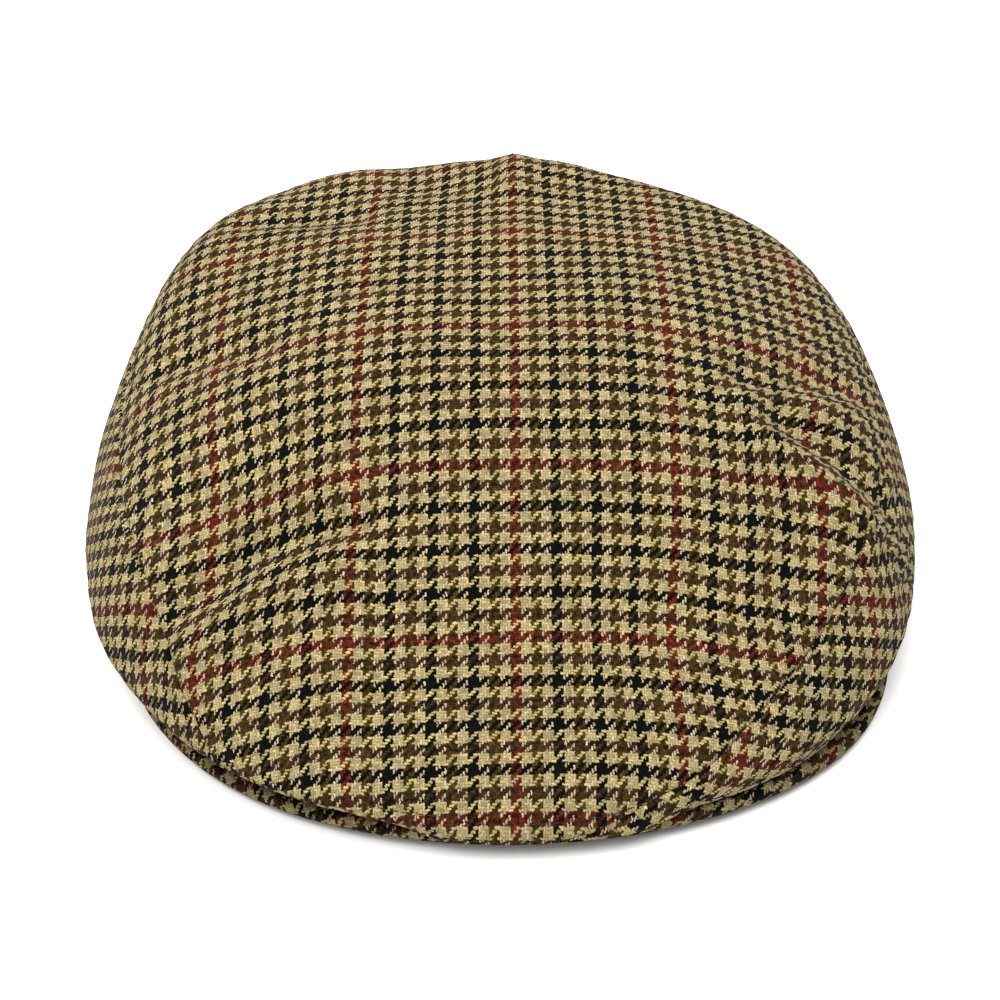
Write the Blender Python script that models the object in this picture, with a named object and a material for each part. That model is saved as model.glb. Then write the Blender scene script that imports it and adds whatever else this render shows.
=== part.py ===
# Flat cap with a one-piece top, two side panels and a cloth covered peak, lying on a surface.
# Metres, +Z up, front of the cap towards -Y. The sizes are measured from a point on the surface
# under the crown's top, and at the end the model is moved so that its box stands centred there.
import math

import bmesh
import bpy
import numpy as np
from mathutils import Matrix

# Crown, seen from above
CROWN_FRONT = 0.1360         # measuring point to the front of the nose
CROWN_BACK = 0.127           # and to the back
CROWN_HALF_WIDTH = 0.127
CROWN_HEIGHT = 0.085         # top of the crown above the surface
WIDEST_SET_BACK = 0.0148     # the crown is widest this far behind the point
NOSE_ASIDE = 0.0035          # the soft front sits a little to the wearer's left
ASIDE_START = 0.040          # from this far in front of the point
ASIDE_RUN = 0.070            # fully after this length
NOSE_SQUARENESS = 2.5        # 2 is an ellipse, more is squarer
BACK_SQUARENESS = 2.6

# Head opening and hem
OPENING_FRONT = 0.081
OPENING_BACK = 0.113
OPENING_HALF_WIDTH = 0.084
HEM_HEIGHT = 0.006           # upright edge of the side panels
HEM_THICKNESS = 0.004        # cloth turned in once

# Peak
PEAK_REACH = 0.1350          # point to the front edge of the peak
PEAK_SPREAD = 90.0           # degrees from the front to the tips
PEAK_TAPER = 3.3             # more keeps the peak deep for longer
PEAK_THICKNESS = 0.0045
PEAK_TIP_THICKNESS = 0.0020
PEAK_TIP_RUN = 22.0          # degrees in which it gets thinner towards a tip
PEAK_ARCH = 0.003            # the middle stands this far off the surface
PEAK_ARCH_WIDTH = 0.80       # half the width of the arch, as a share of the reach
PEAK_ARCH_START = 0.20       # the arch starts this share of the reach in front of the point
PEAK_ARCH_RUN = 0.45         # and is full this share further on
PEAK_SHOWN = 0.0010          # edge of the peak that shows in front of the crown
CORNER_SHOWN = 0.0045        # the crown sits back this much more at the right corner
CORNER_AT = 55.0             # direction of that corner and its spread, in degrees
CORNER_SPREAD = 16.0
PEAK_TIP_GAP = 1.5           # degrees from the end of the board to the hem
PEAK_LAP = 0.0015            # the board reaches this far inside the opening's line

CLOTH = 0.002                # wall of the crown
GAP = 0.0003                 # between neighbouring pieces
HEM_TURN = 8.0               # degrees in which the edge comes down from the peak's tip
EDGE_EASE = 0.004            # the edge line passes from the peak to the hem over this length

# The crown from the top, share 0, down to its widest line. The edge is share 1.
CROWN_ROWS = (
    # share, front, back, side, high_front, high_side, high_back
    (0.00, 0.000, 0.000, 0.000, 1.000, 1.000, 1.000),
    (0.14, 0.210, 0.235, 0.235, 0.940, 1.000, 0.995),
    (0.28, 0.445, 0.465, 0.470, 0.745, 0.945, 0.985),
    (0.42, 0.690, 0.715, 0.705, 0.520, 0.820, 0.950),
    (0.52, 0.860, 0.880, 0.860, 0.335, 0.680, 0.915),
    (0.60, 0.955, 0.970, 0.945, 0.235, 0.500, 0.800),
    (0.70, 1.000, 1.000, 1.000, 0.158, 0.270, 0.450),
)
WIDEST_SHARE = CROWN_ROWS[-1][0]
CENTRED_SHARE = 0.50         # from here down the rings are centred on the widest place

# The wall below the widest line
WALL_BULGE = 0.75            # 0 is straight, 1 is a quarter of an ellipse
WALL_UPRIGHT = 0.15          # share of the wall that ends upright
UPRIGHT_PART = 0.30          # and no more than this part of the wall's height
HEM_SHARE = 0.88             # the turned-in cloth starts here
LEVEL_SHARE = 0.94           # from here to the edge both faces end level
TURN_EASE = 0.06             # share in which either is reached

# Soft swells round the crown, every 30 degrees from the front towards +X,
# outwards as a share of the half width and upwards as a share of the height
SWELL_OUT_SHARE = 0.63       # the outward swell is full from here down
SWELL_UP_SHARE = 0.56        # the upward swell is highest here
SWELL_UP_SPREAD = 0.14
SWELL_ROWS = (
    # direction, outwards, upwards
    (0, 0.000, 0.000),
    (30, -0.036, 0.000),
    (60, 0.008, 0.000),
    (90, 0.034, 0.000),
    (120, 0.021, 0.042),
    (150, 0.001, 0.010),
    (180, 0.049, 0.024),
    (210, 0.087, 0.006),
    (240, 0.003, 0.072),
    (270, 0.024, -0.010),
    (300, 0.032, -0.040),
    (330, -0.003, -0.010),
)

# Folds and dents, from one end to the other in plan: across is a share of the half width,
# along of the crown's front or back reach, width of the half width, rise of the height
FOLD_FADE = 0.20             # folds die out in this share above the widest line
FOLD_ROWS = (
    # name, across_1, along_1, across_2, along_2, width, rise
    ("right fold", 0.60, -0.29, 0.82, -0.405, 0.042, 0.052),
    ("behind the right fold", 0.65, -0.19, 0.90, -0.315, 0.050, -0.058),
    ("before the right fold", 0.60, -0.38, 0.74, -0.48, 0.075, -0.022),
    ("upper right ridge", 0.56, -0.19, 0.84, -0.125, 0.045, 0.022),
    ("upper right valley", 0.58, -0.10, 0.86, -0.015, 0.050, -0.034),
    ("left crease", -0.78, -0.53, -0.36, -0.44, 0.055, -0.050),
    ("left crease's ridge", -0.76, -0.62, -0.42, -0.54, 0.065, 0.030),
    ("left valley", -0.80, 0.13, -0.58, 0.05, 0.055, -0.026),
    ("left back valley", -0.62, 0.68, -0.34, 0.62, 0.055, -0.026),
    ("back ridge", 0.08, 0.74, 0.10, 1.00, 0.055, 0.032),
    ("back dent left of it", -0.16, 0.84, -0.20, 1.00, 0.120, -0.030),
)

# Seam between the top and the side panels: direction from the front and share at which it lies
SEAM_RIGHT = (
    # direction, share
    (2, 0.975),
    (4, 0.920),
    (6, 0.850),
    (8, 0.780),
    (10, 0.730),
    (12, 0.696),
    (15, 0.668),
    (20, 0.640),
    (28, 0.592),
    (36, 0.564),
    (52, 0.541),
    (76, 0.555),
    (110, 0.575),
    (180, 0.600),
)
SEAM_LEFT = (
    # direction, share
    (36, 0.970),
    (38, 0.870),
    (40, 0.760),
    (42, 0.690),
    (44, 0.652),
    (48, 0.614),
    (52, 0.576),
    (56, 0.556),
    (64, 0.544),
    (76, 0.552),
    (110, 0.575),
    (180, 0.600),
)

COLUMN_STEP = 4              # degrees between the columns of points
TOP_STEPS = 10               # rows of the top panel down to where it starts to roll over
ROLL_STEPS = 4               # rows from there to its end
ROLL_SHARE = 0.62            # the roll starts here, or at ROLL_PART of the way to the seam
ROLL_PART = 0.88
SIDE_STEPS = 8               # rows of the side panels
PEAK_EDGE_STEPS = 4
PEAK_EDGE_PART = 0.4         # the rounded edge takes at most this part of the peak's width
SHARP_ANGLE = 50.0           # degrees; gentler edges are shaded smooth
NORMAL_TURN = 1.0            # degrees and share over which the face's direction is taken
NORMAL_STEP = 0.012


def smooth_rows(along, rows):
    """Read a smooth curve through table rows; the first column is the way along."""
    rows = np.array(rows)
    at, values = rows[:, 0], rows[:, 1:]
    step = np.diff(at)
    slope = np.diff(values, axis=0) / step[:, None]
    rate = np.zeros_like(values)
    rate[1:-1] = ((slope[:-1] * step[1:, None] + slope[1:] * step[:-1, None])
                  / (step[:-1] + step[1:])[:, None])
    rate[0] = 1.5 * slope[0] - 0.5 * rate[1]
    rate[-1] = 1.5 * slope[-1] - 0.5 * rate[-2]
    i = np.clip(np.searchsorted(at, along, side="right") - 1, 0, len(at) - 2)
    t = ((along - at[i]) / step[i])[..., None]
    h = step[i][..., None]
    return ((2 * t**3 - 3 * t**2 + 1) * values[i] + (t**3 - 2 * t**2 + t) * h * rate[i]
            + (3 * t**2 - 2 * t**3) * values[i + 1] + (t**3 - t**2) * h * rate[i + 1])


def round_rows(direction, rows):
    """Read a closed smooth curve through rows at even directions."""
    values = np.array(rows)[:, 1:]
    count = len(values)
    at = (np.degrees(direction) % 360) / (360 / count)
    i = np.floor(at).astype(int) % count
    t = (at - np.floor(at))[..., None]
    a, b, c, d = (values[(i + k) % count] for k in (-1, 0, 1, 2))
    return 0.5 * (2 * b + (c - a) * t + (2 * a - 5 * b + 4 * c - d) * t**2
                  + (3 * b - a - 3 * c + d) * t**3)


def ramp(t):
    """Ease from 0 to 1."""
    t = np.clip(t, 0.0, 1.0)
    return t * t * (3 - 2 * t)


def aside(y):
    """How far the soft front is pushed to one side at y."""
    return NOSE_ASIDE * ramp((-y - ASIDE_START) / ASIDE_RUN)


def hem_far(angle):
    """Distance of the head opening's line from the middle of the widest place."""
    c, s = np.cos(angle), np.sin(angle)
    reach = np.where(c > 0, OPENING_FRONT + WIDEST_SET_BACK, OPENING_BACK - WIDEST_SET_BACK)
    return 1.0 / np.sqrt((c / reach)**2 + (s / OPENING_HALF_WIDTH)**2)


def peak_far(angle):
    """Distance of the peak's outer edge from the same place."""
    hem = hem_far(angle)
    turned = np.minimum(1.0, np.abs(angle) / math.radians(PEAK_SPREAD))
    return hem + (PEAK_REACH + WIDEST_SET_BACK - hem) * (1 - turned**PEAK_TAPER)


def peak_underside(x, y):
    """Height of the peak's underside, arched from side to side."""
    across = np.maximum(0.0, 1 - (x / (PEAK_ARCH_WIDTH * PEAK_REACH))**2)
    forward = ramp((-y / PEAK_REACH - PEAK_ARCH_START) / PEAK_ARCH_RUN)
    return PEAK_ARCH * across * forward


def peak_thick(angle):
    """Thickness of the peak, less towards its tips."""
    past = (np.degrees(np.abs(angle)) - (PEAK_SPREAD - PEAK_TIP_RUN)) / PEAK_TIP_RUN
    return PEAK_THICKNESS + (PEAK_TIP_THICKNESS - PEAK_THICKNESS) * ramp(past)


def plan(angle, far):
    """Plan position at a distance from the middle of the widest place."""
    y = WIDEST_SET_BACK - far * np.cos(angle)
    return far * np.sin(angle), y


def past_peak(angle):
    """0 over the peak, 1 where the edge lies on the surface."""
    return ramp((np.degrees(np.abs(angle)) - PEAK_SPREAD) / HEM_TURN)


def edge_line(angle):
    """Distance and height of the crown's lower edge: on the peak, then down on the surface."""
    hem = hem_far(angle)
    corner = np.exp(-((np.degrees(angle) - CORNER_AT) / CORNER_SPREAD)**2)
    over = peak_far(angle) - PEAK_SHOWN - CORNER_SHOWN * corner - hem
    far = hem + 0.5 * (over + np.sqrt(over**2 + EDGE_EASE**2))
    x, y = plan(angle, far)
    return far, (1 - past_peak(angle)) * (peak_underside(x, y) + peak_thick(angle) + GAP)


def fold_height(x, y):
    """Sum of the folds and dents at a plan position."""
    total = np.zeros_like(x)
    for _, across_1, along_1, across_2, along_2, width, rise in FOLD_ROWS:
        x1, x2 = across_1 * CROWN_HALF_WIDTH, across_2 * CROWN_HALF_WIDTH
        y1 = along_1 * (CROWN_BACK if along_1 > 0 else CROWN_FRONT)
        y2 = along_2 * (CROWN_BACK if along_2 > 0 else CROWN_FRONT)
        length = math.hypot(x2 - x1, y2 - y1)
        ux, uy = (x2 - x1) / length, (y2 - y1) / length
        along = (x - x1) * ux + (y - y1) * uy
        off = (x - x1) * uy - (y - y1) * ux
        wide = width * CROWN_HALF_WIDTH
        past_end = np.maximum(0.0, np.abs(along - length / 2) - length / 2)
        total += rise * CROWN_HEIGHT * np.exp(-(off**2 + past_end**2) / wide**2)
    return total


def crown(direction, share):
    """Outer face of the crown; direction in radians from the front, towards +X."""
    direction, share = np.broadcast_arrays(np.asarray(direction, float), np.asarray(share, float))
    c, s = np.cos(direction), np.sin(direction)
    row = smooth_rows(np.minimum(share, WIDEST_SHARE), CROWN_ROWS)
    front, back, side = row[..., 0] * CROWN_FRONT, row[..., 1] * CROWN_BACK, row[..., 2] * CROWN_HALF_WIDTH
    high_front, high_side, high_back = (row[..., k] * CROWN_HEIGHT for k in (3, 4, 5))
    power = np.where(c > 0, NOSE_SQUARENESS, BACK_SQUARENESS)
    scale = (np.abs(c)**power + np.abs(s)**power)**(-1 / power)
    middle = WIDEST_SET_BACK * np.minimum(1.0, share / CENTRED_SHARE)
    x = side * scale * s
    y = middle - np.where(c > 0, front + middle, back - middle) * scale * c
    to_end = (scale * c)**2
    z = high_side + np.where(c > 0, high_front - high_side, high_back - high_side) * to_end

    swell = round_rows(direction, SWELL_ROWS)
    out = swell[..., 0] * CROWN_HALF_WIDTH * ramp(share / SWELL_OUT_SHARE)
    far = np.hypot(x, y - middle) + 1e-9
    x, y = x + out * x / far, y + out * (y - middle) / far
    z = z + swell[..., 1] * CROWN_HEIGHT * np.exp(-((share - SWELL_UP_SHARE) / SWELL_UP_SPREAD)**2)
    z = z + fold_height(x, y) * ramp((WIDEST_SHARE - share) / FOLD_FADE)

    # Below the widest line the wall turns in to the edge and ends upright
    down = np.clip((share - WIDEST_SHARE) / (1 - WIDEST_SHARE), 0, 1)
    angle = np.arctan2(x, WIDEST_SET_BACK - y + 1e-12)
    far = np.hypot(x, y - WIDEST_SET_BACK)
    edge, edge_high = edge_line(angle)
    upright = np.minimum(HEM_HEIGHT, UPRIGHT_PART * np.abs(z - edge_high))
    turn = np.clip(down / (1 - WALL_UPRIGHT), 0, 1)
    quarter = turn * math.pi / 2
    far = edge + (far - edge) * ((1 - WALL_BULGE) * (1 - turn) + WALL_BULGE * np.cos(quarter))
    fall = (1 - WALL_BULGE) * turn + WALL_BULGE * np.sin(quarter)
    last = np.clip((down - 1 + WALL_UPRIGHT) / WALL_UPRIGHT, 0, 1)
    low_z = z + (edge_high + upright - z) * fall - upright * last
    low_x, low_y = plan(angle, far)
    low = share > WIDEST_SHARE
    x, y, z = np.where(low, low_x, x), np.where(low, low_y, y), np.where(low, low_z, z)
    return np.stack([x + aside(y), y, z], axis=-1)


def crown_normal(direction, share):
    """Outward direction of the crown's face."""
    turn = math.radians(NORMAL_TURN)
    low = np.maximum(share - NORMAL_STEP, 0.1 * NORMAL_STEP)
    high = np.minimum(share + NORMAL_STEP, 1.0)
    across = crown(direction + turn, share) - crown(direction - turn, share)
    along = crown(direction, high) - crown(direction, low)
    normal = np.cross(along, across)
    return normal / np.linalg.norm(normal, axis=-1, keepdims=True)


def crown_inside(direction, share):
    """Inner face: one cloth in, thicker at the hem, level with the outer face at the edge."""
    outer = crown(direction, share)
    hem = ramp((share - HEM_SHARE) / TURN_EASE)
    angle = np.arctan2(outer[..., 0], WIDEST_SET_BACK - outer[..., 1])
    thick = CLOTH + (HEM_THICKNESS - CLOTH) * hem * past_peak(angle)
    normal = crown_normal(direction, share)
    level = ramp((share - LEVEL_SHARE) / TURN_EASE)
    flat = np.stack([np.sin(angle), -np.cos(angle), np.zeros_like(angle)], axis=-1)
    normal = normal * (1 - level)[..., None] + flat * level[..., None]
    normal /= np.linalg.norm(normal, axis=-1, keepdims=True)
    return outer - normal * thick[..., None]


def seam_share(degrees):
    """Share at which the top panel ends, by direction in degrees from -180 to 180."""
    rows = SEAM_RIGHT if degrees >= 0 else SEAM_LEFT
    if abs(degrees) < rows[0][0]:
        return 1.0
    return float(smooth_rows(np.array(float(abs(degrees))), rows)[0])


def seam_gap(degrees):
    """Share taken by the gap at the seam, wider where the seam runs down steeply."""
    here = seam_share(degrees)
    turn = math.radians(degrees)
    per_share = np.linalg.norm(crown(turn, here + 0.01) - crown(turn, here - 0.01)) / 0.02
    per_degree = np.linalg.norm(crown(turn + 0.01, here) - crown(turn - 0.01, here)) / math.degrees(0.02)
    ahead = seam_share(math.copysign(min(abs(degrees) + 1, 180), degrees))
    steep = (ahead - here) * per_share / per_degree
    return GAP * math.sqrt(1 + steep**2) / per_share


def material(name, colour, roughness):
    """Plain cloth material."""
    cloth = bpy.data.materials.new(name)
    cloth.use_nodes = True
    shader = cloth.node_tree.nodes["Principled BSDF"]
    shader.inputs["Base Color"].default_value = (*colour, 1.0)
    shader.inputs["Roughness"].default_value = roughness
    shader.inputs["Metallic"].default_value = 0.0
    return cloth


def add_piece(name, mesh_builder, cloth):
    """Turn a bmesh into a named object."""
    mesh = bpy.data.meshes.new(name)
    mesh_builder.normal_update()
    mesh_builder.to_mesh(mesh)
    mesh_builder.free()
    mesh.shade_smooth()
    mesh.set_sharp_from_angle(angle=math.radians(SHARP_ANGLE))
    mesh.materials.append(cloth)
    piece = bpy.data.objects.new(name, mesh)
    bpy.context.scene.collection.objects.link(piece)
    return piece


def close_shell(builder, outer, inner, round_about):
    """Face two matching grids of vertices and join their borders into one closed wall.

    The grids are lists of columns, each running down from the top, in the order of their
    directions. The walls at a seam are split the same way on both panels, so that they stay
    parallel. round_about joins the last column to the first and leaves the upper end open.
    """
    columns = len(outer)
    pairs = [(i, (i + 1) % columns) for i in range(columns if round_about else columns - 1)]
    for i, j in pairs:
        for k in range(len(outer[0]) - 1):
            builder.faces.new((outer[i][k], outer[i][k + 1], outer[j][k + 1], outer[j][k]))
            builder.faces.new((inner[i][k], inner[j][k], inner[j][k + 1], inner[i][k + 1]))
        builder.faces.new((outer[i][-1], inner[i][-1], inner[j][-1]))
        builder.faces.new((outer[i][-1], inner[j][-1], outer[j][-1]))
        if not round_about:
            builder.faces.new((outer[i][0], outer[j][0], inner[j][0]))
            builder.faces.new((outer[i][0], inner[j][0], inner[i][0]))
    if not round_about:
        for k in range(len(outer[0]) - 1):
            builder.faces.new((outer[0][k], inner[0][k], inner[0][k + 1], outer[0][k + 1]))
            builder.faces.new((outer[-1][k], outer[-1][k + 1], inner[-1][k + 1], inner[-1][k]))


def shell_columns(builder, directions, shares):
    """Vertices of the crown's two faces, a column for each direction."""
    outer, inner = [], []
    for degrees, column in zip(directions, shares):
        turn = np.full(len(column), math.radians(degrees))
        outer.append([builder.verts.new(p) for p in crown(turn, column)])
        inner.append([builder.verts.new(p) for p in crown_inside(turn, column)])
    return outer, inner


def side_directions(rows):
    """Directions of a side panel's columns: even steps, and closer where its seam dives."""
    start = rows[0][0]
    even = {d for d in range(2, 180, COLUMN_STEP) if d > start}
    close = {row[0] for row in rows}
    return sorted(even | close)


def top_panel(cloth):
    """The one-piece top, from the peak's edge to the seam with the side panels."""
    right = side_directions(SEAM_RIGHT)
    left = side_directions(SEAM_LEFT)
    front = range(2 - left[0], right[0], COLUMN_STEP)
    directions = [-d for d in reversed(left)] + [d for d in front if d > -left[0]] + right[:-1]
    flat_steps = np.arange(1, TOP_STEPS + 1) / TOP_STEPS
    roll_steps = np.arange(1, ROLL_STEPS + 1) / ROLL_STEPS
    shares = []
    for degrees in directions:
        end = seam_share(degrees)
        roll = min(ROLL_SHARE, ROLL_PART * end)
        shares.append(np.concatenate([roll * flat_steps, roll + (end - roll) * roll_steps]))
    builder = bmesh.new()
    outer, inner = shell_columns(builder, directions, shares)
    close_shell(builder, outer, inner, round_about=True)
    middle = crown(np.array([0.0]), np.array([0.0]))[0]
    top = builder.verts.new(middle)
    under = builder.verts.new(middle - np.array([0.0, 0.0, CLOTH]))
    for i in range(len(directions)):
        j = (i + 1) % len(directions)
        builder.faces.new((top, outer[i][0], outer[j][0]))
        builder.faces.new((under, inner[j][0], inner[i][0]))
    return add_piece("top_panel", builder, cloth)


def side_panel(name, side, cloth):
    """A side panel from its front point round to the centre back seam; side is 1 at +X."""
    rows = SEAM_RIGHT if side > 0 else SEAM_LEFT
    half_gap = math.degrees(0.5 * GAP / CROWN_BACK)
    directions = side_directions(rows)
    shares = []
    for degrees in directions:
        start = seam_share(side * degrees) + seam_gap(side * degrees)
        shares.append(start + (1 - start) * np.arange(SIDE_STEPS + 1) / SIDE_STEPS)
    directions = [side * min(degrees, 180 - half_gap) for degrees in directions]
    builder = bmesh.new()
    outer, inner = shell_columns(builder, directions, shares)
    if side < 0:
        outer.reverse()
        inner.reverse()
    close_shell(builder, outer, inner, round_about=False)
    return add_piece(name, builder, cloth)


def peak(cloth):
    """The stiff peak: a crescent plate with a rounded outer edge."""
    reach = PEAK_SPREAD - PEAK_TIP_GAP
    builder = bmesh.new()
    sections = []
    for degrees in np.linspace(-reach, reach, 2 * int(reach // COLUMN_STEP) + 1):
        angle = math.radians(degrees)
        near = float(hem_far(angle)) - PEAK_LAP
        far = float(peak_far(angle))
        thick = float(peak_thick(angle))
        half = thick / 2
        bend = min(half, PEAK_EDGE_PART * (far - near))
        profile = [(near, 0.0), (0.5 * (near + far), 0.0)]
        for k in range(PEAK_EDGE_STEPS + 1):
            up = -math.pi / 2 + math.pi * k / PEAK_EDGE_STEPS
            profile.append((far - bend + bend * math.cos(up), half + half * math.sin(up)))
        profile += [(0.5 * (near + far), thick), (near, thick)]
        section = []
        for distance, high in profile:
            x, y = (float(v) for v in plan(angle, distance))
            z = float(peak_underside(np.array(x), np.array(y))) + high
            section.append(builder.verts.new((x + float(aside(y)), y, z)))
        sections.append(section)
    for here, there in zip(sections, sections[1:]):
        for k in range(len(here)):
            m = (k + 1) % len(here)
            builder.faces.new((here[k], there[k], there[m], here[m]))
    builder.faces.new(sections[0])
    builder.faces.new(list(reversed(sections[-1])))
    return add_piece("peak", builder, cloth)


def centre(pieces):
    """Move all the pieces together so that the origin lies under the middle of their box."""
    corners = np.array([vertex.co for piece in pieces for vertex in piece.data.vertices])
    middle = (corners.min(axis=0) + corners.max(axis=0)) / 2
    for piece in pieces:
        piece.data.transform(Matrix.Translation((-middle[0], -middle[1], 0.0)))


def build():
    for old in list(bpy.data.objects):
        bpy.data.objects.remove(old, do_unlink=True)
    tweed = material("checked tweed", (0.27, 0.20, 0.11), 0.9)
    peak_tweed = material("peak tweed", (0.17, 0.12, 0.07), 0.9)
    centre([
        top_panel(tweed),
        side_panel("side_panel_right", 1, tweed),
        side_panel("side_panel_left", -1, tweed),
        peak(peak_tweed),
    ])


build()
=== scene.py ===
import math

import bmesh
import bpy
import numpy as np
from mathutils import Matrix, Vector, noise
from mathutils.bvhtree import BVHTree


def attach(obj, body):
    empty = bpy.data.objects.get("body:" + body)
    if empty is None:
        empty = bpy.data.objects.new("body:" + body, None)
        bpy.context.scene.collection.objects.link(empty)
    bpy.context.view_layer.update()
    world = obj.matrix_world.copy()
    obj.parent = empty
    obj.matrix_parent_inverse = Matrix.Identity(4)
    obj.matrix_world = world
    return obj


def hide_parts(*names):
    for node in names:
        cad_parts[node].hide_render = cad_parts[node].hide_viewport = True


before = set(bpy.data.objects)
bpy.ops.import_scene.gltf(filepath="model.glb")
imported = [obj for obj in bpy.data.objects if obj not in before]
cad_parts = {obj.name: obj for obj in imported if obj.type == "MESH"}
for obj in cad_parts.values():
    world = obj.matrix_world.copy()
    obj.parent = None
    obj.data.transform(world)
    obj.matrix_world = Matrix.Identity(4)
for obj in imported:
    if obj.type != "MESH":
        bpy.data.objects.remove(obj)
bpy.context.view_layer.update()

# The crown is worked out from a point on the table below its top, x to the right of the photo,
# the front at -y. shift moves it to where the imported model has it.
shift = np.array([-0.00035, 0.00056, 0.0])

crownForm = {
    "front": 0.1360,
    "back": 0.127,
    "halfWidth": 0.127,
    "height": 0.085,
    "widestSetBack": 0.0148,
    "noseAside": 0.0035,        # the soft front sits a little to one side
    "asideStart": 0.040,
    "asideRun": 0.070,
    "noseSquareness": 2.5,
    "backSquareness": 2.6,
    "widestShare": 0.70,        # the crown is widest here, 0 is its top and 1 its edge
    "centredShare": 0.50,
    "wallBulge": 0.75,
    "wallUpright": 0.15,
    "uprightPart": 0.30,
    "hemHeight": 0.006,
    "swellOutShare": 0.63,
    "swellUpShare": 0.56,
    "swellUpSpread": 0.14,
    "foldFade": 0.20,
    "normalTurn": 0.7,          # degrees and shares between the points that a normal is taken from
    "normalStep": 0.006,
    "normalInward": 0.9,
    "arcSteps": 60,
}

openingForm = {"front": 0.081, "back": 0.113, "halfWidth": 0.084}

peakForm = {
    "reach": 0.1350,
    "spread": 90.0,             # degrees from the front to the tips
    "taper": 3.3,
    "thickness": 0.0045,
    "tipThickness": 0.0020,
    "tipRun": 22.0,
    "arch": 0.003,
    "archWidth": 0.80,
    "archStart": 0.20,
    "archRun": 0.45,
    "shown": 0.0010,
    "cornerShown": 0.0045,
    "cornerAt": 55.0,
    "cornerSpread": 16.0,
    "tipGap": 1.5,
    "lap": 0.0015,
    "hemTurn": 8.0,
    "edgeEase": 0.004,
    "gap": 0.0003,
}

crownRows = (
    # share, front, back, side, high front, high side, high back
    (0.00, 0.000, 0.000, 0.000, 1.000, 1.000, 1.000),
    (0.14, 0.210, 0.235, 0.235, 0.940, 1.000, 0.995),
    (0.28, 0.445, 0.465, 0.470, 0.745, 0.945, 0.985),
    (0.42, 0.690, 0.715, 0.705, 0.520, 0.820, 0.950),
    (0.52, 0.860, 0.880, 0.860, 0.335, 0.680, 0.915),
    (0.60, 0.955, 0.970, 0.945, 0.235, 0.500, 0.800),
    (0.70, 1.000, 1.000, 1.000, 0.158, 0.270, 0.450),
)

swellRows = (
    # direction, outwards, upwards
    (0, 0.000, 0.000),
    (30, -0.036, 0.000),
    (60, 0.008, 0.000),
    (90, 0.034, 0.000),
    (120, 0.021, 0.042),
    (150, 0.001, 0.010),
    (180, 0.049, 0.024),
    (210, 0.087, 0.006),
    (240, 0.003, 0.072),
    (270, 0.024, -0.010),
    (300, 0.032, -0.040),
    (330, -0.003, -0.010),
)

foldRows = (
    # name, across 1, along 1, across 2, along 2, width, rise
    ("right fold", 0.60, -0.29, 0.82, -0.405, 0.042, 0.052),
    ("behind the right fold", 0.65, -0.19, 0.90, -0.315, 0.050, -0.058),
    ("before the right fold", 0.60, -0.38, 0.74, -0.48, 0.075, -0.022),
    ("upper right ridge", 0.56, -0.19, 0.84, -0.125, 0.045, 0.022),
    ("upper right valley", 0.58, -0.10, 0.86, -0.015, 0.050, -0.034),
    ("left crease", -0.78, -0.53, -0.36, -0.44, 0.055, -0.050),
    ("left crease's ridge", -0.76, -0.62, -0.42, -0.54, 0.065, 0.030),
    ("left valley", -0.80, 0.13, -0.58, 0.05, 0.055, -0.026),
    ("left back valley", -0.62, 0.68, -0.34, 0.62, 0.055, -0.026),
    ("back ridge", 0.08, 0.74, 0.10, 1.00, 0.055, 0.032),
    ("back dent left of it", -0.16, 0.84, -0.20, 1.00, 0.120, -0.030),
    ("back shoulder right of it", 0.20, 0.84, 0.23, 1.00, 0.100, 0.022),
    ("back dent, far left", -0.42, 0.70, -0.52, 0.86, 0.120, -0.022),
)

seamRight = (
    # direction, share
    (2, 0.975),
    (4, 0.920),
    (6, 0.850),
    (8, 0.780),
    (10, 0.730),
    (12, 0.696),
    (15, 0.668),
    (20, 0.640),
    (28, 0.592),
    (36, 0.564),
    (52, 0.541),
    (76, 0.555),
    (110, 0.575),
    (180, 0.600),
)

seamLeft = (
    # direction, share
    (36, 0.970),
    (38, 0.870),
    (40, 0.760),
    (42, 0.690),
    (44, 0.652),
    (48, 0.614),
    (52, 0.576),
    (56, 0.556),
    (64, 0.544),
    (76, 0.552),
    (110, 0.575),
    (180, 0.600),
)

cloth = {
    "thick": 0.0018,
    "nearSeam": (0.0, 0.00035, 0.0008, 0.0013, 0.0019, 0.0027, 0.0037, 0.0052),     # its rows next to a seam
    "sharpAngle": 50.0,
    "seamDepth": 0.0008,        # both edges roll in at a seam
    "seamWidth": 0.0018,
    "pucker": 0.00022,
    "puckerWidth": 0.009,
    "puckerEvery": 0.0085,
    "puckerDrift": 1.7,         # puckers stand closer and farther apart by turns
    "puckerDriftEvery": 3.7,
    "edgeDepth": 0.0012,        # the top's edge rolls in on the peak
    "edgeWidth": 0.0022,
    "unevenness": 0.0007,
    "unevenSize": 0.040,
    "fineUnevenness": 0.00025,
    "fineUnevenSize": 0.015,
    "stitchDepth": 0.00055,
    "stitchWidth": 0.0014,
    "gatherDrift": 0.8,         # small folds sway a little along y
    "gatherDriftEvery": 1.7,
    "calmRun": 0.02,            # the cloth lies calmer this close to its end
}

sameSpot = 1e-6                 # points closer than this are one

gathers = (
    # small folds one above the other: name, x, y, reach, height, distance from one to the next
    ("right side, beside the fold", 0.118, -0.044, 0.024, 0.00055, 0.0062),
    ("left side, beside the crease", -0.112, -0.070, 0.016, 0.00030, 0.0060),
)

crumples = (
    # name, x, y, reach, height, size
    ("right front corner", 0.088, -0.084, 0.030, 0.0012, 0.0080),
    ("left front corner", -0.086, -0.086, 0.028, 0.0010, 0.0085),
)

lipForm = {
    "out": 0.0030,
    "down": 0.0026,
    "run": 0.0085,              # from the edge up
    "fullTo": 10.0,             # degrees from the front
    "goneAt": 21.0,
}


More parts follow.
